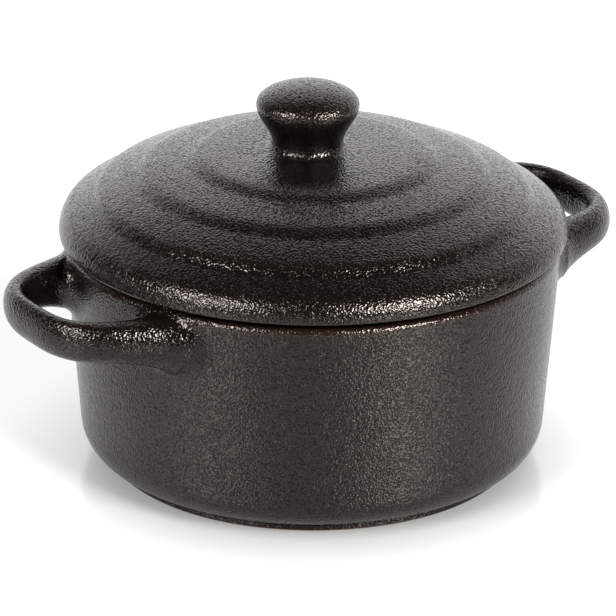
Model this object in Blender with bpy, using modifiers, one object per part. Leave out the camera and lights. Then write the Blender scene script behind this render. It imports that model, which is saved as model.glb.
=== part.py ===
"""Lidded casserole dish: a small stoneware pot with two loop handles and a stepped dome lid.

Units are metres and +Z is up. The pot stands on the table plane at z = 0 with its axis on Z.
The handles lie along X, and the lid lifts straight up along Z.
"""
import math

import bmesh
import bpy
import numpy as np

MM = 0.001

# Pot body
RIM_RADIUS = 48.9 * MM  # outer radius of the wall at the rim
WALL_DRAFT = 3.4 * MM  # how much narrower the wall line is at the table than at the rim
POT_HEIGHT = 46.0 * MM
WALL_THICKNESS = 4.6 * MM
FLOOR_THICKNESS = 5.0 * MM
RIM_ROUND = 1.0 * MM
OUTER_CORNER_ROUND = 7.0 * MM
INNER_CORNER_ROUND = 7.0 * MM
FOOT_INSET = 4.8 * MM  # from the wall line at the table in to the foot ring
FOOT_WIDTH = 4.0 * MM
FOOT_HEIGHT = 1.0 * MM
FOOT_EDGE_ROUND = 0.4 * MM

# Lid shell
SEAT_GAP = 0.3 * MM  # unglazed seat of the lid above the rim
LID_OVERHANG = 1.1 * MM
LID_EDGE_HEIGHT = 2.0 * MM  # from the seat up to the widest line of the edge
LID_EDGE_ROUND = 2.7 * MM
LID_LIP_ROUND = 0.8 * MM
LID_THICKNESS = 4.5 * MM
DOME_FALL = 12.0 * MM
DOME_POWER = 3.0
RING_COUNT = 3
RING_MARGIN = 7.1 * MM  # from the lid's edge in to the outermost ring step
RING_PITCH = 10.2 * MM
RING_DROP = 0.8 * MM
RING_WIDTH = 4.5 * MM
FLANGE_CLEARANCE = 1.0 * MM
FLANGE_DEPTH = 4.0 * MM
FLANGE_WIDTH = 3.2 * MM
FLANGE_TAPER = 0.4 * MM
FLANGE_ROUND = 1.0 * MM

# Knob
KNOB_RADIUS = 10.1 * MM
KNOB_NECK_RADIUS = 6.95 * MM
KNOB_NECK_HEIGHT = 0.8 * MM
KNOB_FLARE_HEIGHT = 7.7 * MM
KNOB_CROWN = 4.1 * MM
KNOB_OFFSET_X = -1.05 * MM  # the knob is set by hand, a little off the crown's middle
KNOB_OFFSET_Y = 0.7 * MM

# Loop handles
HANDLE_PROJECTION = 16.8 * MM  # from the rim's outer radius out to the tip
HANDLE_SPAN = 44.4 * MM
HANDLE_SPRING = 11.1 * MM  # the arch springs from this far inside the rim's outer radius
HANDLE_TIP_DROP = 5.1 * MM  # middle of the grip below the rim
HANDLE_SLOPE = 0.037
LOOP_SQUARENESS = 2.65
GRIP_WIDTH = 4.2 * MM  # at the tip
ARM_WIDTH = 6.8 * MM  # at the springing
GRIP_HEIGHT = 8.0 * MM
ROOT_FLARE_OUT = 4.0 * MM  # how much each root widens where it meets the wall, on its outer side
ROOT_FLARE_IN = 2.5 * MM  # on its inner side
ROOT_DEEPENING = 2.0 * MM  # and below
ROOT_FLARE_LENGTH = 12.0 * MM
SLIP_GAP = 0.3 * MM  # layer of slip that joins handles and knob

# Fineness of the turned and lofted surfaces
TURN_STEPS = 56
KNOB_TURN_STEPS = 40
KNOB_CURVE_STEPS = 10
ARC_STEPS = 5
DOME_STEPS = 28
UNDERSIDE_STEPS = 9
LOOP_STEPS = 40
SECTION_STEPS = 16
WELD_DISTANCE = 0.005 * MM

GLAZE_COLOUR = (0.024, 0.021, 0.019, 1.0)
GLAZE_ROUGHNESS = 0.5

# Sizes that follow from the ones above
LID_RADIUS = RIM_RADIUS + LID_OVERHANG
MOUTH_RADIUS = RIM_RADIUS - WALL_THICKNESS
FOOT_RADIUS = RIM_RADIUS - WALL_DRAFT - FOOT_INSET
DRAFT_SLOPE = WALL_DRAFT / POT_HEIGHT
DRAFT_ANGLE = math.atan(DRAFT_SLOPE)


def clear_scene():
    """Remove every object, so that the model starts empty."""
    for old in list(bpy.data.objects):
        bpy.data.objects.remove(old, do_unlink=True)


def new_collection(name):
    """Add a collection under the scene."""
    collection = bpy.data.collections.new(name)
    bpy.context.scene.collection.children.link(collection)
    return collection


def glaze_material(name):
    """Matt black stoneware glaze for one piece."""
    material = bpy.data.materials.new(name + "_glaze")
    material.use_nodes = True
    shader = material.node_tree.nodes["Principled BSDF"]
    shader.inputs["Base Color"].default_value = GLAZE_COLOUR
    shader.inputs["Roughness"].default_value = GLAZE_ROUGHNESS
    shader.inputs["Metallic"].default_value = 0.0
    return material


def arc(centre, radius, start, end):
    """Points on an arc about (x, z), from one angle in degrees to another."""
    angles = np.radians(np.linspace(start, end, ARC_STEPS + 1))
    return [(centre[0] + radius * math.cos(a), centre[1] + radius * math.sin(a)) for a in angles]


def smooth_step(t):
    """Rise from 0 to 1 with flat ends."""
    t = np.clip(t, 0.0, 1.0)
    return t * t * (3.0 - 2.0 * t)


def wall_radius(z):
    """Outer radius of the pot's wall line at height z."""
    return RIM_RADIUS - DRAFT_SLOPE * (POT_HEIGHT - z)


def pot_profile():
    """Half section of the pot: out along the floor, up inside, over the rim, down to the foot."""
    floor_z = FOOT_HEIGHT + FLOOR_THICKNESS
    lean = math.degrees(DRAFT_ANGLE)
    offset = 1.0 / math.cos(DRAFT_ANGLE)

    inner_z = floor_z + INNER_CORNER_ROUND
    inner_r = wall_radius(inner_z) - WALL_THICKNESS - INNER_CORNER_ROUND * offset
    points = [(0.0, floor_z)]
    points += arc((inner_r, inner_z), INNER_CORNER_ROUND, -90.0, -lean)

    round_z = POT_HEIGHT - RIM_ROUND
    rim_inner = wall_radius(round_z) - WALL_THICKNESS + RIM_ROUND * offset
    rim_outer = wall_radius(round_z) - RIM_ROUND * offset
    points += arc((rim_inner, round_z), RIM_ROUND, 180.0 - lean, 90.0)
    points += arc((rim_outer, round_z), RIM_ROUND, 90.0, -lean)

    corner_z = FOOT_HEIGHT + OUTER_CORNER_ROUND
    corner_r = wall_radius(corner_z) - OUTER_CORNER_ROUND * offset
    reach = min(max((FOOT_RADIUS - corner_r) / OUTER_CORNER_ROUND, 0.0), 1.0)
    points += arc((corner_r, corner_z), OUTER_CORNER_ROUND, -lean, -math.degrees(math.acos(reach)))

    foot_inner = FOOT_RADIUS - FOOT_WIDTH
    points.append((FOOT_RADIUS, points[-1][1]))
    points.append((FOOT_RADIUS, FOOT_EDGE_ROUND))
    points.append((FOOT_RADIUS - FOOT_EDGE_ROUND, 0.0))
    points.append((foot_inner + FOOT_EDGE_ROUND, 0.0))
    points.append((foot_inner, FOOT_EDGE_ROUND))
    points.append((foot_inner, FOOT_HEIGHT))
    points.append((0.0, FOOT_HEIGHT))
    return points


def lid_fall(radius):
    """How far the lid's top lies below its crown: a power dome with a soft step at each ring."""
    fall = DOME_FALL * (radius / LID_RADIUS) ** DOME_POWER
    for ring in range(RING_COUNT):
        middle = LID_RADIUS - RING_MARGIN - ring * RING_PITCH
        fall = fall + RING_DROP * smooth_step((radius - middle) / RING_WIDTH + 0.5)
    return fall


def lid_edge_join():
    """Radius and angle at which the dome runs into the round edge with one tangent."""
    centre = LID_RADIUS - LID_EDGE_ROUND
    slope_at_edge = DOME_POWER * DOME_FALL / LID_RADIUS
    angle = math.atan2(1.0, slope_at_edge)
    return centre + LID_EDGE_ROUND * math.cos(angle), math.degrees(angle)


def lid_crown():
    """Height of the lid's crown above its seat."""
    join_radius, join_angle = lid_edge_join()
    join_height = LID_EDGE_HEIGHT + LID_EDGE_ROUND * math.sin(math.radians(join_angle))
    return join_height + float(lid_fall(join_radius))


def lid_profile():
    """Half section of the lid, heights from its seat: over the dome, round the edge, under to the crown."""
    crown = lid_crown()
    join_radius, join_angle = lid_edge_join()
    radii = np.linspace(0.0, join_radius, DOME_STEPS + 1)[:-1]
    points = list(zip(radii, crown - lid_fall(radii)))
    points += arc((LID_RADIUS - LID_EDGE_ROUND, LID_EDGE_HEIGHT), LID_EDGE_ROUND, join_angle, 0.0)
    points += arc((LID_RADIUS - LID_LIP_ROUND, LID_LIP_ROUND), LID_LIP_ROUND, 0.0, -90.0)

    flange_outer = MOUTH_RADIUS - FLANGE_CLEARANCE
    flange_tip = flange_outer - FLANGE_TAPER
    flange_inner = flange_outer - FLANGE_WIDTH
    points.append((flange_outer, 0.0))
    points += arc((flange_tip - FLANGE_ROUND, FLANGE_ROUND - FLANGE_DEPTH), FLANGE_ROUND, 0.0, -90.0)
    points += arc((flange_inner + FLANGE_ROUND, FLANGE_ROUND - FLANGE_DEPTH), FLANGE_ROUND, -90.0, -180.0)

    under_fall = DOME_FALL + RING_COUNT * RING_DROP
    radii = np.linspace(flange_inner, 0.0, UNDERSIDE_STEPS)
    points += list(zip(radii, crown - LID_THICKNESS - under_fall * (radii / LID_RADIUS) ** DOME_POWER))
    return points


def knob_profile():
    """Half section of the knob, heights from its base: a domed cap that flares out of a neck."""
    flare_top = KNOB_NECK_HEIGHT + KNOB_FLARE_HEIGHT
    angles = np.radians(np.linspace(90.0, 0.0, KNOB_CURVE_STEPS + 1))
    points = [(KNOB_RADIUS * math.cos(a), flare_top + KNOB_CROWN * math.sin(a)) for a in angles]
    for t in np.linspace(1.0, 0.0, KNOB_CURVE_STEPS + 1)[1:]:
        radius = KNOB_NECK_RADIUS + (KNOB_RADIUS - KNOB_NECK_RADIUS) * float(smooth_step(t))
        points.append((radius, KNOB_NECK_HEIGHT + KNOB_FLARE_HEIGHT * t))
    points.append((KNOB_NECK_RADIUS, 0.0))
    points.append((0.0, 0.0))
    return points


def turned_piece(name, profile, steps, collection):
    """A profile in the XZ plane, turned about Z by a Screw modifier."""
    points = [profile[0]]
    for point in profile[1:]:
        if math.dist(point, points[-1]) > 2.0 * WELD_DISTANCE:
            points.append(point)
    mesh = bpy.data.meshes.new(name)
    verts = [(max(r, 0.0), 0.0, z) for r, z in points]
    mesh.from_pydata(verts, [(i, i + 1) for i in range(len(verts) - 1)], [])
    piece = bpy.data.objects.new(name, mesh)
    collection.objects.link(piece)
    screw = piece.modifiers.new("turn", "SCREW")
    screw.axis = "Z"
    screw.angle = 2.0 * math.pi
    screw.steps = steps
    screw.render_steps = steps
    screw.use_merge_vertices = True
    screw.merge_threshold = WELD_DISTANCE
    screw.use_smooth_shade = True
    return piece


def wall_cutter(collection):
    """The solid that the handles are cut to: the pot's wall line plus the layer of slip."""
    low, high = -POT_HEIGHT, 2.0 * POT_HEIGHT
    profile = [
        (0.0, high),
        (wall_radius(high) + SLIP_GAP, high),
        (wall_radius(low) + SLIP_GAP, low),
        (0.0, low),
    ]
    cutter = turned_piece("wall_cutter", profile, TURN_STEPS, collection)
    cutter.hide_render = True
    cutter.display_type = "WIRE"
    return cutter


def arch(tip, half_span, turn):
    """A half superellipse in plan, from one springing point round the tip to the other."""
    spring = RIM_RADIUS - HANDLE_SPRING
    power = 2.0 / LOOP_SQUARENESS
    out = spring + (tip - spring) * np.abs(np.cos(turn)) ** power
    across = half_span * np.sign(np.sin(turn)) * np.abs(np.sin(turn)) ** power
    return np.stack([out, across], axis=1)


def handle_mesh():
    """Loft of upright oval sections between two arches, flared where the roots meet the wall."""
    tip = RIM_RADIUS + HANDLE_PROJECTION
    turn = np.linspace(-0.5 * math.pi, 0.5 * math.pi, LOOP_STEPS + 1)
    outer = arch(tip, HANDLE_SPAN / 2.0, turn)
    inner = arch(tip - GRIP_WIDTH, HANDLE_SPAN / 2.0 - ARM_WIDTH, turn)
    middle = (outer + inner) / 2.0
    height = POT_HEIGHT - HANDLE_TIP_DROP - HANDLE_SLOPE * (tip - middle[:, 0])

    wall = np.sqrt(np.maximum(wall_radius(height) ** 2 - middle[:, 1] ** 2, 0.0))
    flare = np.clip(1.0 - (middle[:, 0] - wall) / ROOT_FLARE_LENGTH, 0.0, 1.0) ** 2
    outer[:, 1] += np.sign(turn) * ROOT_FLARE_OUT * flare
    inner[:, 1] -= np.sign(turn) * ROOT_FLARE_IN * flare
    middle = (outer + inner) / 2.0
    half_width = (outer - inner) / 2.0
    half_height = (GRIP_HEIGHT + ROOT_DEEPENING * flare) / 2.0
    height = height - ROOT_DEEPENING * flare / 2.0

    shell = bmesh.new()
    rings = []
    for centre, side, z, rise in zip(middle, half_width, height, half_height):
        ring = []
        for a in np.linspace(0.0, 2.0 * math.pi, SECTION_STEPS, endpoint=False):
            x, y = centre + side * math.cos(a)
            ring.append(shell.verts.new((x, y, z + rise * math.sin(a))))
        rings.append(ring)
    for ring, following in zip(rings, rings[1:]):
        for k in range(SECTION_STEPS):
            n = (k + 1) % SECTION_STEPS
            shell.faces.new((ring[k], ring[n], following[n], following[k]))
    shell.faces.new(rings[0])
    shell.faces.new(reversed(rings[-1]))
    bmesh.ops.recalc_face_normals(shell, faces=shell.faces)
    mesh = bpy.data.meshes.new("handle")
    shell.to_mesh(mesh)
    shell.free()
    mesh.shade_smooth()
    return mesh


def loop_handle(name, mesh, turn, cutter, collection):
    """One handle, turned to its side of the pot and cut to the wall."""
    handle = bpy.data.objects.new(name, mesh)
    collection.objects.link(handle)
    handle.rotation_euler.z = turn
    cut = handle.modifiers.new("cut_to_wall", "BOOLEAN")
    cut.operation = "DIFFERENCE"
    cut.solver = "EXACT"
    cut.object = cutter
    return handle


def main():
    clear_scene()
    parts = new_collection("lidded_casserole_dish")
    cutters = new_collection("cutters")

    pot_body = turned_piece("pot_body", pot_profile(), TURN_STEPS, parts)
    cutter = wall_cutter(cutters)
    mesh = handle_mesh()
    handle_right = loop_handle("handle_right", mesh, 0.0, cutter, parts)
    handle_left = loop_handle("handle_left", mesh.copy(), math.pi, cutter, parts)

    lid_lift = bpy.data.objects.new("lid_lift", None)
    parts.objects.link(lid_lift)
    lid_lift.location.z = POT_HEIGHT + SEAT_GAP
    lid_shell = turned_piece("lid_shell", lid_profile(), TURN_STEPS, parts)
    lid_knob = turned_piece("lid_knob", knob_profile(), KNOB_TURN_STEPS, parts)
    lid_knob.location = (KNOB_OFFSET_X, KNOB_OFFSET_Y, lid_crown() + SLIP_GAP)
    lid_shell.parent = lid_lift
    lid_knob.parent = lid_lift

    for piece in (pot_body, handle_left, handle_right, lid_shell, lid_knob):
        piece.data.materials.append(glaze_material(piece.name))


main()
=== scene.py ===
"""A small lidded casserole in matt black stoneware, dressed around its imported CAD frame.

Shapes are worked out in millimetres as whole arrays and turned to metres when a mesh is made. +Z is
up, the handles lie along X, and the pot's axis is Z. Every pattern reads the object's own coordinates.
"""
import math

import bpy
import numpy as np
from mathutils import Matrix, Vector


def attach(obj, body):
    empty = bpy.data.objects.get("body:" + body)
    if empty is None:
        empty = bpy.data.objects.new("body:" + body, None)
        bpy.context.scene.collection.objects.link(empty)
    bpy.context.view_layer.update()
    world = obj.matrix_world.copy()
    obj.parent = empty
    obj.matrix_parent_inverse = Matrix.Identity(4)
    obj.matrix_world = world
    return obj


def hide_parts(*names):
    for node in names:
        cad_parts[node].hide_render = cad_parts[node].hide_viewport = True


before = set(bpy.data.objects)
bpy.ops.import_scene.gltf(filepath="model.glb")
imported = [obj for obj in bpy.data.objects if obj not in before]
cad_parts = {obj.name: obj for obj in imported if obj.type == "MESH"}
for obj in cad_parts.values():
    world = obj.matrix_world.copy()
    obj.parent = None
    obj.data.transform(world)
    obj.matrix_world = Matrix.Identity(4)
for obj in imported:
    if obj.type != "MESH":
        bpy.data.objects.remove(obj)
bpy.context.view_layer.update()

MM = 0.001
TINY = 1e-6

# Pot, in millimetres
RIM_RADIUS = 48.9
WALL_DRAFT = 3.4  # how much narrower the wall's line is at the table than at the rim
POT_HEIGHT = 45.45
WALL_THICKNESS = 4.6
FLOOR_HEIGHT = 6.0
RIM_ROUND = 1.1
LOWER_CORNER = 7.0
INNER_CORNER = 7.0
FOOT_RADIUS = 40.7
FOOT_WIDTH = 4.0
FOOT_HEIGHT = 1.0
FOOT_SHOULDER = 0.25  # how far the corner above the foot ring lies over the ring's height
FOOT_SHOULDER_ROUND = 0.2
FOOT_TAPER = 0.1
FOOT_EDGE_ROUND = 0.45
FOOT_INNER_SLOPE = 0.4
FOOT_INNER_ROUND = 0.5
BASE_HOLLOW = 0.3  # rise of the underside from the foot ring to the axis
DRAFT_SLOPE = WALL_DRAFT / POT_HEIGHT

# Lid
SEAT_HEIGHT = 45.75
SEAT_OUTER = 46.2  # outer radius of the unglazed seat
LID_RADIUS = 50.0
LID_CROWN = 18.09  # from the seat up to the crown
EDGE_ROUND = 5.0
LIP_RISE = 1.0  # how far the lip outside the seat lies over it, which leaves the dark seam
LIP_ROUND = 0.5
LIP_INSET = 0.02
LIP_START = (0.005, -0.02)  # first point of the lip, counted from the last one of the edge
STEP_TOP_INSET = 1.4  # the step from the lip down to the seat, counted in from the rim's radius
STEP_FOOT_INSET = 1.6
STEP_ROUND = 0.3
DOME_FALL = 11.16
DOME_POWER = 3.16
LEAN_RISE = 0.345
LEAN_TOWARDS = math.radians(147.0)
RING_RADII = (42.5, 33.5, 23.0)
RING_WIDTHS = (2.8, 4.5, 5.0)
RING_DROPS = (0.95, 0.73, 0.95)
RING_LEAN = 1.5
LID_THICKNESS = 4.5
UNDERSIDE_POWER = 3.0
FLANGE_OUTER = 43.3
FLANGE_WIDTH = 3.2
FLANGE_DEPTH = 4.0
FLANGE_CORNER = 0.6
FLANGE_TAPER = 0.4
FLANGE_ROUND = 1.1
FLANGE_TOP_GAP = 1.2  # the flange's inner face ends this far under the lid's underside

# Knob
KNOB_PLACE = (-1.05, 0.7)  # set a little off the crown's middle
KNOB_BASE = 64.4
KNOB_RADIUS = 10.1
KNOB_NECK = 6.95
KNOB_FLARE_START = 0.8
KNOB_FLARE_END = 8.5
KNOB_CROWN = 4.1
KNOB_FILLET = 1.3
KNOB_FILLET_GAP = 0.05  # least height from the fillet up to the first row of the flare
KNOB_SKIRT = ((0.5, 0.1), (0.8, 0.6))  # (outside the fillet, depth in the lid) of the hidden skirt
KNOB_SETTLE = 2.0  # the knob's foot is drawn down onto the lid over this height

# Loop handles
LOOP_TIP = 65.3  # from the pot's axis to the outer face of the grip
LOOP_SPRING = 37.8  # both arches spring from this far off the axis
LOOP_HALF_SPAN = 21.5
LOOP_SQUARENESS = 2.83
HOLE_SQUARENESS = 3.4
GRIP_WIDTH = 4.0
ARM_WIDTH = 7.4
GRIP_HALF_HEIGHT = 4.0
GRIP_MIDDLE = 40.35
OUTER_SQUARENESS = 2.1
INNER_SQUARENESS = 2.2
FLARE_LENGTH = 12.0
FLARE_OUT = 2.4
FLARE_IN = 1.0
FLARE_DOWN = 3.2
FLARE_UP = 0.2
ROOT_FILLET_TOP = 0.6
ROOT_FILLET_BOTTOM = 1.8
ROOT_FILLET_OUTSIDE = 4.0
ROOT_FILLET_INSIDE = 4.5
ROOT_SKIRT = ((1.2, 0.6), (0.5, 0.08))  # (outside the fillet, depth in the wall) of the hidden skirt
GRIP_THINNING = 0.25  # how far glaze has run off the grip's upper and lower edge

# Slow unevenness of a turned piece: (size, waves round the axis, start, drift per millimetre of height)
WAVER_WAVES = (
    (0.045, 2.0, 0.9, 0.03),
    (0.030, 5.0, 2.1, -0.06),
    (0.018, 11.0, 0.0, 0.13),
)
CALM_RADIUS = 10.0  # the waver dies down inside this radius
POT_WAVER = 1.0
LID_WAVER = 0.8
KNOB_WAVER = 0.5

# Places wiped free of glaze before firing: a height over the table, and a nearness to the seat's level
WIPED_FOOT = 0.32
WIPED_FOOT_FADE = 0.2
WIPED_SEAT = 0.03
WIPED_SEAT_FADE = 0.02

# Grain of the glaze
PEBBLE_SIZE = 0.4
DIMPLE_SIZE = 1.6
CLOUD_SIZE = 14.0
GRAIN_DEPTH = 0.13

# Fineness of the meshes: columns round a piece, rows along it, and steps along a profile
POT_COLUMNS = 256
LID_COLUMNS = 256
KNOB_COLUMNS = 160
LOOP_COLUMNS = 72
DOME_ROWS = 200
EDGE_ROWS = 20
UNDERSIDE_ROWS = 60
KNOB_ROWS = 40
KNOB_FILLET_ROWS = 14
LOOP_ROWS = 201
LOOP_EVENNESS = 0.2  # share of the loop's rows spread evenly, the others gather at the roots
ROOT_SEARCH_ROWS = 1201
POT_STEP = 0.6
LIP_STEP = 0.5
ARC_STEP_DEGREES = 9.0
JOIN_ROUNDS = 6

# Inputs of a Mix node, and its colour output
FACTOR, NUMBER_A, NUMBER_B, COLOUR_A, COLOUR_B = 0, 2, 3, 6, 7
MIXED_COLOUR = 2

# Camera: the viewing angle, distance and framing of the photograph, in metres and pixels
CAMERA_AZIMUTH = math.radians(-33.0)
CAMERA_ELEVATION = math.radians(22.795)
CAMERA_ROLL = math.radians(0.407)
CAMERA_DISTANCE = 0.9922
CAMERA_TARGET = Vector((0.0, 0.0, 0.025))
FOCAL_PIXELS = 5000.0
IMAGE_PIXELS = 616.0
IMAGE_CENTRE = (312.667, 330.262)
SENSOR_WIDTH = 36.0

# Studio, in metres and degrees
FLOOR_HALF_WIDTH = 3.0
LIGHT_TARGET = Vector((0.0, 0.0, 0.035))
BACKDROP_AZIMUTH = 173.0


def smooth_step(t):
    """3t^2 - 2t^3 between 0 and 1: a rise with flat ends."""
    t = np.clip(t, 0.0, 1.0)
    return t * t * (3.0 - 2.0 * t)


def rounded_path(corners, step):
    """Straight runs through (radius, height, round) corners, each corner an arc of its round.

    An arc touches its two runs at round * tan(half the turn) from the corner. Points lie at most
    a step apart on the runs, and nine degrees apart on the arcs.
    """
    corners = np.asarray(corners, float)
    place, bend = corners[:, :2], corners[:, 2]
    pieces = [place[:1]]
    for before, here, after, radius in zip(place[:-2], place[1:-1], place[2:], bend[1:-1]):
        along = (here - before) / np.linalg.norm(here - before)
        onward = (after - here) / np.linalg.norm(after - here)
        turn = math.atan2(along[0] * onward[1] - along[1] * onward[0], along @ onward)
        start = here - along * radius * math.tan(abs(turn) / 2.0)
        side = math.copysign(1.0, turn) * np.array([-along[1], along[0]])
        count = 2 + int(abs(math.degrees(turn)) / ARC_STEP_DEGREES)
        sweep = np.linspace(0.0, abs(turn), count)[:, None]
        pieces.append(start + radius * (side * (1.0 - np.cos(sweep)) + along * np.sin(sweep)))
    points = np.concatenate(pieces + [place[-1:]])
    length = np.linalg.norm(np.diff(points, axis=0), axis=1)
    points = points[np.append(True, length > TINY)]
    travel = np.append(0.0, np.cumsum(np.linalg.norm(np.diff(points, axis=0), axis=1)))
    runs = [
        np.linspace(begin, end, 1 + math.ceil((end - begin) / step))[:-1]
        for begin, end in zip(travel[:-1], travel[1:])
    ]
    marks = np.append(np.concatenate(runs), travel[-1])
    return np.stack([np.interp(marks, travel, points[:, k]) for k in (0, 1)], axis=1)


def edge_thinning(profile):
    """How far glaze has run off each point of a profile: its convex bend per millimetre, from 0 to 1.

    The bend is evened out over five points with the weights 1, 2, 3, 2, 1.
    """
    run = np.gradient(profile, axis=0)
    heading = np.unwrap(np.arctan2(run[:, 1], run[:, 0]))
    length = np.maximum(np.linalg.norm(run, axis=1), TINY)
    bend = np.clip(-np.gradient(heading) / length, 0.0, 1.0)
    kernel = np.array([1.0, 2.0, 3.0, 2.0, 1.0]) / 9.0
    return np.convolve(np.pad(bend, 2, mode="edge"), kernel, mode="valid")


def hand_waver(angle, height):
    """Slow unevenness of a dipped and fired wall in millimetres: low sine waves that drift with height."""
    return sum(
        size * np.sin(waves * angle + start + drift * height) for size, waves, start, drift in WAVER_WAVES
    )


def skin(name, grid, thin, bare, material, body, cad_node):
    """A closed mesh over a grid of points in millimetres, rows along the piece and columns round it.

    Each square of four neighbours is a face, a row drawn in to one point is a pole with triangles,
    and a first or last row that is still open is closed by a fan to its middle. Faces are turned
    outwards by the sign of the enclosed volume, the sum of a . (b x c) over its triangles.
    """
    fan = [grid[k].mean(axis=0, keepdims=True).repeat(grid.shape[1], axis=0)[None] for k in (0, -1)]
    grid = np.concatenate([fan[0], grid, fan[1]])
    thin, bare = (np.concatenate([a[:1], a, a[-1:]]) for a in (thin, bare))
    rows, columns = grid.shape[:2]
    ids = np.arange(rows * columns).reshape(rows, columns)
    poles = np.ptp(grid, axis=1).max(axis=1) < TINY
    ids[poles] = ids[poles][:, :1]
    near, far = ids[:-1], ids[1:]
    faces = np.stack([near, far, np.roll(far, -1, 1), np.roll(near, -1, 1)], axis=-1).reshape(-1, 4)
    keep = ~(poles[:-1] & poles[1:]).repeat(columns)
    faces = faces[keep]
    start, end = faces[:, 0] == faces[:, 3], faces[:, 1] == faces[:, 2]
    squares = faces[~start & ~end]
    triangles = np.concatenate([faces[start][:, :3], faces[end][:, [0, 1, 3]]])

    corners = np.concatenate([squares.ravel(), triangles.ravel()])
    used, renumbered = np.unique(corners, return_inverse=True)
    squares = renumbered[: squares.size].reshape(-1, 4)
    triangles = renumbered[squares.size:].reshape(-1, 3)
    points = grid.reshape(-1, 3)[used]
    halves = np.concatenate([squares[:, :3], squares[:, [0, 2, 3]], triangles])
    a, b, c = (points[halves[:, k]] for k in range(3))
    if (a * np.cross(b, c)).sum() < 0.0:
        squares, triangles = squares[:, ::-1], triangles[:, ::-1]

    mesh = bpy.data.meshes.new(name)
    mesh.from_pydata(points * MM, [], squares.tolist() + triangles.tolist())
    mesh.shade_smooth()
    for key, values in (("glaze_thin", thin), ("bare_clay", bare)):
        spread = np.broadcast_to(values.reshape(rows, -1), (rows, columns)).ravel()[used]
        mesh.attributes.new(key, "FLOAT", "POINT").data.foreach_set("value", spread.astype(np.float32))
    mesh.materials.append(material)
    piece = bpy.data.objects.new(name, mesh)
    bpy.context.scene.collection.objects.link(piece)
    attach(piece, body)
    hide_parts(cad_node)


def swing(profile, columns, waver, centre=(0.0, 0.0)):
    """A profile of (radius, height) carried round an upright axis: x = r cos t, y = r sin t.

    The slow waver is added to r, and less of it near the axis, so that a pole stays one point.
    """
    angle = np.linspace(0.0, 2.0 * math.pi, columns, endpoint=False)[None, :]
    radius, height = profile[:, :1], profile[:, 1:]
    reach = np.minimum(radius / CALM_RADIUS, 1.0)
    radius = radius + waver * reach * hand_waver(angle, height)
    return np.stack(
        [
            centre[0] + radius * np.cos(angle),
            centre[1] + radius * np.sin(angle),
            height + 0.0 * angle,
        ],
        axis=-1,
    )


def wall_line(height):
    """Outer radius of the pot's straight tapered wall."""
    return RIM_RADIUS - DRAFT_SLOPE * (POT_HEIGHT - height)


def wall_face(height, angle):
    """Outer radius of the pot's wall with its waver: the straight line, drawn in by the rim's arc."""
    over = np.clip((height - (POT_HEIGHT - RIM_ROUND)) / RIM_ROUND, 0.0, 1.0)
    drawn_in = RIM_ROUND * (1.0 - np.sqrt(1.0 - over * over))
    return wall_line(height) - drawn_in + hand_waver(angle, height)


def dress_pot(glaze):
    """The pot: floor, inner wall, rim, outer wall and foot ring in one profile carried round Z."""
    inner_top = wall_line(POT_HEIGHT) - WALL_THICKNESS
    inner_low = wall_line(FLOOR_HEIGHT) - WALL_THICKNESS
    foot_inner = FOOT_RADIUS - FOOT_WIDTH
    corners = [
        (0.0, FLOOR_HEIGHT, 0.0),
        (inner_low, FLOOR_HEIGHT, INNER_CORNER),
        (inner_top, POT_HEIGHT, RIM_ROUND),
        (RIM_RADIUS, POT_HEIGHT, RIM_ROUND),
        (wall_line(FOOT_HEIGHT), FOOT_HEIGHT, LOWER_CORNER),
        (FOOT_RADIUS, FOOT_HEIGHT + FOOT_SHOULDER, FOOT_SHOULDER_ROUND),
        (FOOT_RADIUS - FOOT_TAPER, 0.0, FOOT_EDGE_ROUND),
        (foot_inner, 0.0, FOOT_EDGE_ROUND),
        (foot_inner - FOOT_INNER_SLOPE, FOOT_HEIGHT, FOOT_INNER_ROUND),
        (0.0, FOOT_HEIGHT + BASE_HOLLOW, 0.0),
    ]
    profile = rounded_path(corners, POT_STEP)
    radius, height = profile.T
    foot = smooth_step((WIPED_FOOT - height) / WIPED_FOOT_FADE)
    seat = smooth_step((height - (POT_HEIGHT - WIPED_SEAT)) / WIPED_SEAT_FADE) * (radius < SEAT_OUTER)
    grid = swing(profile, POT_COLUMNS, POT_WAVER)
    skin("pot_vessel", grid, edge_thinning(profile), np.maximum(foot, seat), glaze, "pot", "pot_body")


def lid_top(radius):
    """Height of the lid's top: a power dome with a step at each ring.

    A step is its drop times 3t^2 - 2t^3, with t the way across the ring raised to the lean, so that
    it rolls over slowly and ends sharper.
    """
    fall = DOME_FALL * (radius / LID_RADIUS) ** DOME_POWER
    for ring, width, drop in zip(RING_RADII, RING_WIDTHS, RING_DROPS):
        across = np.clip((radius - ring) / width + 0.5, 0.0, 1.0)
        fall = fall + drop * smooth_step(across ** RING_LEAN)
    return SEAT_HEIGHT + LID_CROWN - fall


def dome_lean(x, y):
    """Rise of the dome to one side, as it came out of the kiln: a plane with its full rise at the edge."""
    return LEAN_RISE * (x * math.cos(LEAN_TOWARDS) + y * math.sin(LEAN_TOWARDS)) / LID_RADIUS


def edge_join():
    """Radius and angle at which the dome meets the rolled edge with one tangent.

    The edge's arc has the dome's slope at the angle atan(1 / slope), which lies at the radius
    R - r (1 - cos angle). Slope and radius are worked out in turn until they settle.
    """
    radius = LID_RADIUS
    for _ in range(JOIN_ROUNDS):
        slope = DOME_POWER * DOME_FALL / LID_RADIUS * (radius / LID_RADIUS) ** (DOME_POWER - 1.0)
        angle = math.atan2(1.0, slope)
        radius = LID_RADIUS - EDGE_ROUND * (1.0 - math.cos(angle))
    return radius, angle


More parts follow.
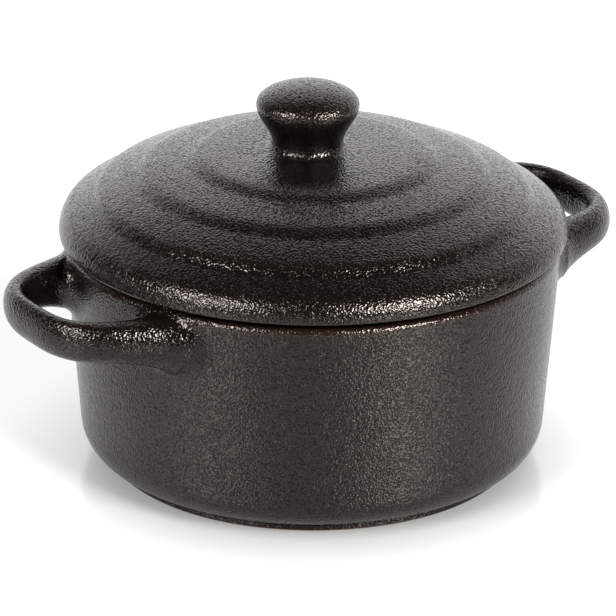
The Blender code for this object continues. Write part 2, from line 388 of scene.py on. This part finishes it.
def dress_lid(glaze):
    """The lid: dome, rolled edge, lip, seat, flange and domed underside in one profile carried round Z.

    The dome's lean is added to the heights above the lip, and fades in over the edge's round.
    """
    join, angle = edge_join()
    radius = np.linspace(0.0, join, DOME_ROWS)
    dome = np.stack([radius, lid_top(radius)], axis=1)
    edge_middle = dome[-1, 1] - EDGE_ROUND * math.sin(angle)
    lip_height = SEAT_HEIGHT + LIP_RISE
    edge_end = math.asin((lip_height + LIP_ROUND - edge_middle) / EDGE_ROUND)
    roll = np.linspace(angle, edge_end, EDGE_ROWS)[1:]
    edge = np.stack(
        [
            LID_RADIUS - EDGE_ROUND + EDGE_ROUND * np.cos(roll),
            edge_middle + EDGE_ROUND * np.sin(roll),
        ],
        axis=1,
    )
    flange_inner = FLANGE_OUTER - FLANGE_WIDTH
    flange_low = SEAT_HEIGHT - FLANGE_DEPTH
    under = np.linspace(flange_inner, 0.0, UNDERSIDE_ROWS)
    sag = (DOME_FALL + sum(RING_DROPS)) * (under / LID_RADIUS) ** UNDERSIDE_POWER
    below = SEAT_HEIGHT + LID_CROWN - LID_THICKNESS - sag
    corners = [
        (edge[-1, 0] + LIP_START[0], edge[-1, 1] + LIP_START[1], 0.0),
        (LID_RADIUS - LIP_INSET, lip_height, LIP_ROUND),
        (RIM_RADIUS - STEP_TOP_INSET, lip_height, STEP_ROUND),
        (RIM_RADIUS - STEP_FOOT_INSET, SEAT_HEIGHT, STEP_ROUND),
        (FLANGE_OUTER, SEAT_HEIGHT, FLANGE_CORNER),
        (FLANGE_OUTER - FLANGE_TAPER, flange_low, FLANGE_ROUND),
        (flange_inner, flange_low, FLANGE_ROUND),
        (flange_inner, below[0] - FLANGE_TOP_GAP, 0.0),
    ]
    lip = rounded_path(corners, LIP_STEP)
    profile = np.concatenate([dome, edge, lip, np.stack([under, below], axis=1)[1:]])
    off_seat = np.abs(profile[:, 1] - SEAT_HEIGHT)
    seat = smooth_step((WIPED_SEAT - off_seat) / WIPED_SEAT_FADE) * (profile[:, 0] < SEAT_OUTER)
    grid = swing(profile, LID_COLUMNS, LID_WAVER)
    above = smooth_step((grid[..., 2] - lip_height) / EDGE_ROUND)
    grid[..., 2] += above * dome_lean(grid[..., 0], grid[..., 1])
    skin("stepped_lid", grid, edge_thinning(profile), seat, glaze, "lid", "lid_shell")


def dress_knob(glaze):
    """The knob: half an ellipsoid on a smooth-step flare, a neck and a fillet, carried round its own axis.

    Its foot is drawn down onto the lid's top, and a skirt closes it inside the lid.
    """
    turn = np.linspace(0.5 * math.pi, 0.0, KNOB_ROWS)
    cap = np.stack([KNOB_RADIUS * np.cos(turn), KNOB_FLARE_END + KNOB_CROWN * np.sin(turn)], axis=1)
    t = np.linspace(1.0, 0.0, KNOB_ROWS)[1:]
    flare = np.stack(
        [
            KNOB_NECK + (KNOB_RADIUS - KNOB_NECK) * smooth_step(t),
            KNOB_FLARE_START + (KNOB_FLARE_END - KNOB_FLARE_START) * t,
        ],
        axis=1,
    )
    flare = flare[flare[:, 1] > KNOB_FILLET + KNOB_FILLET_GAP]
    drop = np.linspace(0.0, 0.5 * math.pi, KNOB_FILLET_ROWS)
    fillet = np.stack(
        [
            KNOB_NECK + KNOB_FILLET * (1.0 - np.cos(drop)),
            KNOB_FILLET * (1.0 - np.sin(drop)),
        ],
        axis=1,
    )
    skirt = [(KNOB_NECK + KNOB_FILLET + outside, -depth) for outside, depth in KNOB_SKIRT]
    skirt = np.array(skirt + [(0.0, skirt[-1][1])])
    profile = np.concatenate([cap, flare, fillet, skirt])
    profile[0, 0] = 0.0
    thin = edge_thinning(profile)
    profile[:, 1] += KNOB_BASE
    grid = swing(profile, KNOB_COLUMNS, KNOB_WAVER, KNOB_PLACE)
    lid = lid_top(np.hypot(grid[..., 0], grid[..., 1])) + dome_lean(grid[..., 0], grid[..., 1])
    sink = KNOB_BASE - lid
    grid[..., 2] -= sink * smooth_step((KNOB_BASE + KNOB_SETTLE - grid[..., 2]) / KNOB_SETTLE)
    skin("turned_knob", grid, thin, np.zeros(len(profile)), glaze, "lid", "lid_knob")


def squared(wave, squareness):
    """A sine or cosine w drawn towards a square wave: sign(w) |w|^(2/n), for a superellipse of power n."""
    return np.sign(wave) * np.abs(wave) ** (2.0 / squareness)


def section_squareness(around):
    """Power of the grip's section: rounder on its outer half, squarer on the inner half."""
    return np.where(np.cos(around) > 0.0, OUTER_SQUARENESS, INNER_SQUARENESS)


def loop_section(turn, around):
    """Points of the loop before its fillets: upright rounded slabs between an outer and an inner arch.

    Each arch is a half superellipse in plan, spring + reach |cos t|^(2/n) out and span |sin t|^(2/n)
    across. Towards the wall the slab grows up and down by the square of its nearness,
    and outwards and inwards by its cube.
    """
    out, across = (squared(wave(turn), LOOP_SQUARENESS) for wave in (np.cos, np.sin))
    hole_out, hole_across = (squared(wave(turn), HOLE_SQUARENESS) for wave in (np.cos, np.sin))
    outer_x = LOOP_SPRING + (LOOP_TIP - LOOP_SPRING) * out
    inner_x = LOOP_SPRING + (LOOP_TIP - GRIP_WIDTH - LOOP_SPRING) * hole_out
    outer_y = LOOP_HALF_SPAN * across
    inner_y = (LOOP_HALF_SPAN - ARM_WIDTH) * hole_across
    middle_x, middle_y = (outer_x + inner_x) / 2.0, (outer_y + inner_y) / 2.0
    wall_x = np.sqrt(np.maximum(wall_line(GRIP_MIDDLE) ** 2 - middle_y ** 2, 0.0))
    nearness = np.clip(1.0 - (middle_x - wall_x) / FLARE_LENGTH, 0.0, 1.0)
    outer_y = outer_y + np.sign(turn) * FLARE_OUT * nearness ** 3
    inner_y = inner_y - np.sign(turn) * FLARE_IN * nearness ** 3
    half_height = GRIP_HALF_HEIGHT + (FLARE_DOWN + FLARE_UP) * nearness ** 2 / 2.0
    cos, sin = (squared(wave(around), section_squareness(around)) for wave in (np.cos, np.sin))
    x = (outer_x + inner_x) / 2.0 + (outer_x - inner_x) / 2.0 * cos
    y = (outer_y + inner_y) / 2.0 + (outer_y - inner_y) / 2.0 * cos
    z = GRIP_MIDDLE - (FLARE_DOWN - FLARE_UP) * nearness ** 2 / 2.0 + half_height * sin
    half_width = np.abs(outer_y - inner_y) / 2.0 + TINY
    return x, y, z, half_width, half_height


def dress_handle(name, cad_node, turned, glaze):
    """One loop handle, fused to the wall by a fillet all round both roots.

    Every line along the loop starts where it meets the wall. In the wall's own coordinates (angle,
    height, distance d from the wall) it is pushed aside by r - sqrt(r^2 - (r - d)^2), a quarter
    circle of radius r that leaves the wall with its tangent. A skirt closes each root inside the wall.
    """
    around = np.linspace(0.0, 2.0 * math.pi, LOOP_COLUMNS, endpoint=False)[None, :]
    fine = np.linspace(-0.5 * math.pi, 0.0, ROOT_SEARCH_ROWS)[:, None]
    x, y, z, _, _ = loop_section(fine, around)
    gap = np.hypot(x, y) - wall_face(z, np.arctan2(y, x))
    first = np.argmax(gap > 0.0, axis=0)[None, :]
    low, high = np.take_along_axis(gap, first - 1, 0), np.take_along_axis(gap, first, 0)
    root = fine[first[0] - 1, 0] + (fine[1, 0] - fine[0, 0]) * (low / (low - high))[0]

    even = np.linspace(0.0, 1.0, LOOP_ROWS)[:, None]
    gathered = even - np.sin(2.0 * math.pi * even) / (2.0 * math.pi)
    along = LOOP_EVENNESS * even + (1.0 - LOOP_EVENNESS) * gathered
    turn = root[None, :] * (1.0 - 2.0 * along)
    x, y, z, half_width, half_height = loop_section(turn, around)
    angle = np.arctan2(y, x)
    distance = np.hypot(x, y) - wall_face(z, angle)
    distance[[0, -1]] = 0.0

    steep = section_squareness(around) / (section_squareness(around) - 1.0)
    lean_y = squared(np.cos(around), steep) / half_width
    lean_z = squared(np.sin(around), steep) / half_height
    size = np.hypot(lean_y, lean_z)
    lean_y, lean_z = lean_y / size * np.sign(turn), lean_z / size
    upright = np.where(np.sin(around) > 0.0, ROOT_FILLET_TOP, ROOT_FILLET_BOTTOM)
    side = np.where(np.cos(around) > 0.0, ROOT_FILLET_OUTSIDE, ROOT_FILLET_INSIDE)
    fillet = upright + (side - upright) * np.cos(around) ** 2
    short = np.clip(fillet - distance, 0.0, fillet)
    push = fillet - np.sqrt(np.maximum(fillet ** 2 - short ** 2, 0.0))

    added = ((len(ROOT_SKIRT), len(ROOT_SKIRT)), (0, 0))
    push, distance, angle, z, lean_y, lean_z = (
        np.pad(rows, added, mode="edge") for rows in (push, distance, angle, z, lean_y, lean_z)
    )
    for row, (outside, depth) in enumerate(ROOT_SKIRT):
        push[[row, -1 - row]] += outside
        distance[[row, -1 - row]] -= depth
    angle = angle + lean_y * push / wall_line(z)
    z = z + lean_z * push
    reach = wall_face(z, angle + turned) + distance
    grid = np.stack([reach * np.cos(angle + turned), reach * np.sin(angle + turned), z], axis=-1)
    thin = np.broadcast_to(GRIP_THINNING * np.abs(np.sin(around)) ** 4, z.shape)
    skin(name, grid, thin, np.zeros(len(z)), glaze, "pot", cad_node)


def linear(code, alpha=1.0):
    """An sRGB hex colour as linear light: c / 12.92 below 0.04045, else ((c + 0.055) / 1.055) ^ 2.4."""
    c = np.array([int(code[k:k + 2], 16) for k in (1, 3, 5)]) / 255.0
    c = np.where(c <= 0.04045, c / 12.92, ((c + 0.055) / 1.055) ** 2.4)
    return (*c.tolist(), alpha)


def node(tree, kind, values=None, links=None, **settings):
    """Add a node to a tree, with its settings, its input values and its inputs' links."""
    new = tree.nodes.new(kind)
    for key, value in settings.items():
        setattr(new, key, value)
    for key, value in (values or {}).items():
        new.inputs[key].default_value = value
    for key, socket in (links or {}).items():
        tree.links.new(socket, new.inputs[key])
    return new


def every(size):
    """Texture scale that repeats once in this many millimetres."""
    return 1.0 / (size * MM)


def matt_black_glaze():
    """Stoneware dipped in a matt black glaze and fired: a dark iron glass that sets to a fine pebble grain.

    It gives the eye glossy pebble tops between dull pits, so that a soft sheen breaks into sparks on
    every bright edge. On level faces, where the molten glaze lay still, the pits are duller and the
    tops brighter than on the walls. A warm tinge face on fades to plain grey at a grazing angle, where
    pebbles also hide each other and take away gloss. Bare sandy clay shows where the glaze was wiped
    off before firing.
    """
    material = bpy.data.materials.new("matt_black_glaze_on_stoneware")
    material.use_nodes = True
    tree = material.node_tree
    shader = tree.nodes["Principled BSDF"]
    shader.inputs["IOR"].default_value = 1.42
    shader.inputs["Specular Tint"].default_value = (1.0, 0.895, 0.815, 1.0)
    place = node(tree, "ShaderNodeTexCoord").outputs["Object"]
    thin = node(tree, "ShaderNodeAttribute", attribute_name="glaze_thin").outputs["Fac"]
    wiped = node(tree, "ShaderNodeAttribute", attribute_name="bare_clay").outputs["Fac"]

    noises = (
        node(tree, "ShaderNodeTexNoise", {"Scale": every(size), "Detail": detail}, {"Vector": place})
        for size, detail in ((PEBBLE_SIZE, 0.0), (DIMPLE_SIZE, 0.0), (CLOUD_SIZE, 3.0))
    )
    pebbles, dimples, clouds = (noise.outputs["Fac"] for noise in noises)

    # Colour: a cloudy near-black, browner where the glaze ran thin, and clay where it was wiped off
    tone = node(
        tree, "ShaderNodeMix", {COLOUR_A: linear("#040302"), COLOUR_B: linear("#070403")},
        {FACTOR: clouds}, data_type="RGBA",
    )
    worn = node(
        tree, "ShaderNodeMix", {COLOUR_B: linear("#140c08")},
        {FACTOR: thin, COLOUR_A: tone.outputs[MIXED_COLOUR]}, data_type="RGBA",
    )
    clay = node(
        tree, "ShaderNodeMix", {COLOUR_B: linear("#6f5d4e")},
        {FACTOR: wiped, COLOUR_A: worn.outputs[MIXED_COLOUR]}, data_type="RGBA",
    )
    tree.links.new(clay.outputs[MIXED_COLOUR], shader.inputs["Base Color"])
    rough = node(tree, "ShaderNodeMix", {NUMBER_A: 0.12, NUMBER_B: 0.85}, {FACTOR: wiped})
    tree.links.new(rough.outputs[0], shader.inputs["Roughness"])

    # Gloss: from the pits up to the pebble tops, by how level the face is, and less at a grazing angle
    outward = node(tree, "ShaderNodeNewGeometry").outputs["Normal"]
    level = {"Value": node(tree, "ShaderNodeSeparateXYZ", None, {0: outward}).outputs["Z"]}
    settled = {"From Min": 0.3, "From Max": 0.8}
    dull = node(tree, "ShaderNodeMapRange", {**settled, "To Min": 0.27, "To Max": 0.05}, level)
    bright = node(tree, "ShaderNodeMapRange", {**settled, "To Min": 0.5, "To Max": 0.65}, level)
    shine = node(
        tree, "ShaderNodeMapRange", {"From Min": 0.35, "From Max": 0.6},
        {"Value": pebbles, "To Min": dull.outputs["Result"], "To Max": bright.outputs["Result"]},
    )
    facing = node(tree, "ShaderNodeLayerWeight", {"Blend": 0.5}).outputs["Facing"]
    hidden = node(
        tree, "ShaderNodeMapRange", {"From Min": 0.75, "From Max": 1.0, "To Min": 1.0, "To Max": 0.35},
        {"Value": facing},
    )
    gloss = node(
        tree, "ShaderNodeMath", None, {0: shine.outputs["Result"], 1: hidden.outputs["Result"]},
        operation="MULTIPLY",
    )
    tree.links.new(gloss.outputs[0], shader.inputs["Specular IOR Level"])

    # Grain: pebbles on wider dimples, with a sharper fall into the pits
    pits = node(
        tree, "ShaderNodeMapRange", {"From Min": 0.32, "From Max": 0.47}, {"Value": pebbles},
        interpolation_type="SMOOTHSTEP",
    )
    swell = node(tree, "ShaderNodeMath", {1: 0.4}, {0: dimples, 2: pebbles}, operation="MULTIPLY_ADD")
    height = node(
        tree, "ShaderNodeMath", {1: 0.15}, {0: pits.outputs["Result"], 2: swell.outputs[0]},
        operation="MULTIPLY_ADD",
    )
    grain = node(
        tree, "ShaderNodeBump", {"Strength": 1.0, "Distance": GRAIN_DEPTH * MM},
        {"Height": height.outputs[0]},
    )
    tree.links.new(grain.outputs["Normal"], shader.inputs["Normal"])
    return material


def studio_floor():
    """A wide white sheet on the table plane that glows a little through emission, with painted shade
    darkening its colour where the dish is close.
    """
    half = FLOOR_HALF_WIDTH
    corners = [(-half, -half, 0.0), (half, -half, 0.0), (half, half, 0.0), (-half, half, 0.0)]
    mesh = bpy.data.meshes.new("studio_floor")
    mesh.from_pydata(corners, [], [(0, 1, 2, 3)])
    material = bpy.data.materials.new("white_acrylic_sheet")
    material.use_nodes = True
    tree = material.node_tree
    shader = tree.nodes["Principled BSDF"]
    shader.inputs["Emission Color"].default_value = linear("#ffffff")
    shader.inputs["Emission Strength"].default_value = 0.21
    shader.inputs["Roughness"].default_value = 0.18
    shader.inputs["IOR"].default_value = 1.5
    # Painted contact shade: the floor's colour runs from dark grey to light grey by ambient occlusion,
    # darkest where the dish stands close above it
    open_sky = node(tree, "ShaderNodeAmbientOcclusion", {"Distance": 20.0 * MM}).outputs["AO"]
    painted_contact_shade = node(
        tree, "ShaderNodeMix", {COLOUR_A: linear("#505050"), COLOUR_B: linear("#b8b8b8")},
        {FACTOR: open_sky}, data_type="RGBA",
    )
    tree.links.new(painted_contact_shade.outputs[MIXED_COLOUR], shader.inputs["Base Color"])
    mesh.materials.append(material)
    floor = bpy.data.objects.new("studio_floor", mesh)
    bpy.context.scene.collection.objects.link(floor)


def studio_direction(azimuth, elevation):
    """Unit vector towards a place in the studio, its azimuth counted from the camera to its right."""
    a = CAMERA_AZIMUTH + math.radians(azimuth)
    e = math.radians(elevation)
    return Vector((math.sin(a) * math.cos(e), -math.cos(a) * math.cos(e), math.sin(e)))


def studio_camera():
    """A long lens at the photograph's angle, turned a little to set the dish in its place in the frame."""
    back = studio_direction(0.0, math.degrees(CAMERA_ELEVATION))
    right = Vector((math.cos(CAMERA_AZIMUTH), math.sin(CAMERA_AZIMUTH), 0.0))
    up = back.cross(right)
    turned_right = right * math.cos(CAMERA_ROLL) + up * math.sin(CAMERA_ROLL)
    turned_up = up * math.cos(CAMERA_ROLL) - right * math.sin(CAMERA_ROLL)
    aside = (IMAGE_CENTRE[0] - IMAGE_PIXELS / 2.0) / FOCAL_PIXELS
    below = (IMAGE_CENTRE[1] - IMAGE_PIXELS / 2.0) / FOCAL_PIXELS
    view_back = (back + turned_right * aside - turned_up * below).normalized()
    view_right = turned_up.cross(view_back).normalized()
    view_up = view_back.cross(view_right)
    lens = bpy.data.cameras.new("studio_camera")
    lens.sensor_width = SENSOR_WIDTH
    lens.lens = SENSOR_WIDTH * FOCAL_PIXELS / IMAGE_PIXELS
    lens.clip_start, lens.clip_end = 0.05, 20.0
    camera = bpy.data.objects.new("studio_camera", lens)
    turn = Matrix((view_right, view_up, view_back)).transposed().to_4x4()
    camera.matrix_world = Matrix.Translation(CAMERA_TARGET + back * CAMERA_DISTANCE) @ turn
    bpy.context.scene.collection.objects.link(camera)
    bpy.context.scene.camera = camera


def softbox(name, azimuth, elevation, distance, width, height, radiance):
    """A flat soft light that faces the dish. Its power is radiance times pi times its area."""
    light = bpy.data.lights.new(name, "AREA")
    light.shape = "RECTANGLE"
    light.size, light.size_y = width, height
    light.energy = radiance * math.pi * width * height
    lamp = bpy.data.objects.new(name, light)
    towards = studio_direction(azimuth, elevation)
    lamp.location = LIGHT_TARGET + towards * distance
    lamp.rotation_mode = "QUATERNION"
    lamp.rotation_quaternion = towards.to_track_quat("Z", "Y")
    lamp.visible_camera = False
    bpy.context.scene.collection.objects.link(lamp)


def studio_room():
    """White paper behind the dish and a dim room in front and overhead, as light.

    The light grows with the cosine between a direction and the paper's. The camera sees plain white.
    """
    world = bpy.data.worlds.new("studio_room")
    bpy.context.scene.world = world
    world.use_nodes = True
    tree = world.node_tree
    background = tree.nodes["Background"]
    background.inputs["Color"].default_value = (1.0, 1.0, 1.0, 1.0)
    direction = node(tree, "ShaderNodeTexCoord").outputs["Generated"]
    behind = tuple(studio_direction(BACKDROP_AZIMUTH, 0.0))
    facing = node(tree, "ShaderNodeVectorMath", {1: behind}, {0: direction}, operation="DOT_PRODUCT")
    level = node(
        tree, "ShaderNodeMapRange", {"From Min": 0.3, "From Max": 0.76, "To Min": 0.08, "To Max": 1.84},
        {"Value": facing.outputs["Value"]}, interpolation_type="SMOOTHSTEP",
    )
    seen = node(tree, "ShaderNodeLightPath").outputs["Is Camera Ray"]
    strength = node(
        tree, "ShaderNodeMix", {NUMBER_B: 1.05}, {FACTOR: seen, NUMBER_A: level.outputs["Result"]}
    )
    tree.links.new(strength.outputs[0], background.inputs["Strength"])


glaze = matt_black_glaze()
dress_pot(glaze)
dress_handle("loop_handle_right", "handle_right", 0.0, glaze)
dress_handle("loop_handle_left", "handle_left", math.pi, glaze)
dress_lid(glaze)
dress_knob(glaze)

studio_floor()
studio_camera()
studio_room()
softbox(
    "left_softbox", azimuth=-49.0, elevation=28.0, distance=2.4, width=1.12, height=1.16, radiance=25.0
)
softbox(
    "right_softbox", azimuth=44.5, elevation=27.0, distance=2.4, width=1.0, height=1.06, radiance=50.0
)
bpy.context.scene.view_settings.view_transform = "Standard"
